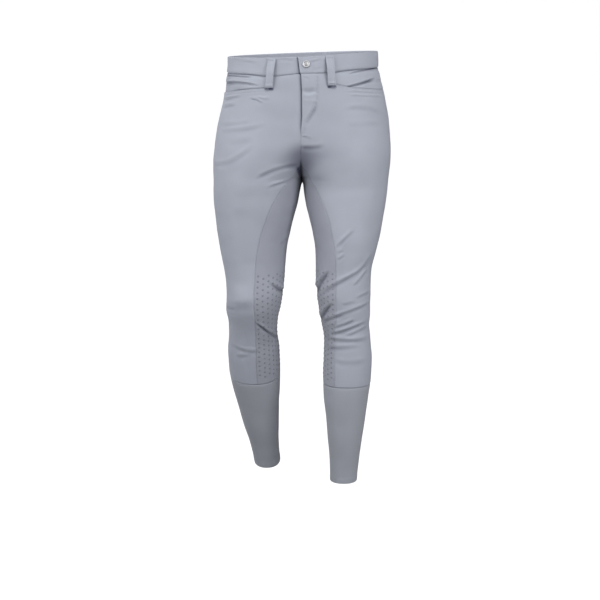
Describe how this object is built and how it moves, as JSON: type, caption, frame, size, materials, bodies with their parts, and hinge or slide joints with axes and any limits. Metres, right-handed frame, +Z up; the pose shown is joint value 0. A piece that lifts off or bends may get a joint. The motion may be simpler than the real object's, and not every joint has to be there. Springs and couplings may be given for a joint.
{
  "type": "men's riding breeches",
  "caption": "Men's riding breeches, hollow as when worn in mid-stride, with slanted front pockets, inner leg grip panels, belt loops, a buttoned waistband and stretch calf cuffs.",
  "frame": {"origin": "centre of the waistband's ring, half-way up it, where the wearer's waist holds the breeches", "axes": "+Z up, front towards -Y, +X towards the wearer's left"},
  "size_m": [0.366, 0.2583, 0.8996],
  "materials": {
    "stretch_cloth": "matt light grey four-way stretch weave",
    "grip_cloth": "matt mid-grey stretch cloth with small grip dots",
    "cuff_knit": "matt grey stretch knit",
    "button_metal": "satin silvery metal"
  },
  "bodies": {
    "root": {"front_left": "stretch_cloth", "front_right": "stretch_cloth", "back_left": "stretch_cloth", "back_right": "stretch_cloth", "inner_leg_left": "grip_cloth", "inner_leg_right": "grip_cloth", "pocket_facing_left": "stretch_cloth", "pocket_facing_right": "stretch_cloth", "waistband_left": "stretch_cloth", "waistband_right": "stretch_cloth", "calf_cuff_left": "cuff_knit", "calf_cuff_right": "cuff_knit", "belt_loop_front_left": "stretch_cloth", "belt_loop_front_right": "stretch_cloth", "belt_loop_back_left": "stretch_cloth", "belt_loop_back_centre": "stretch_cloth", "belt_loop_back_right": "stretch_cloth", "waist_button": "button_metal"}
  },
  "joints": []
}
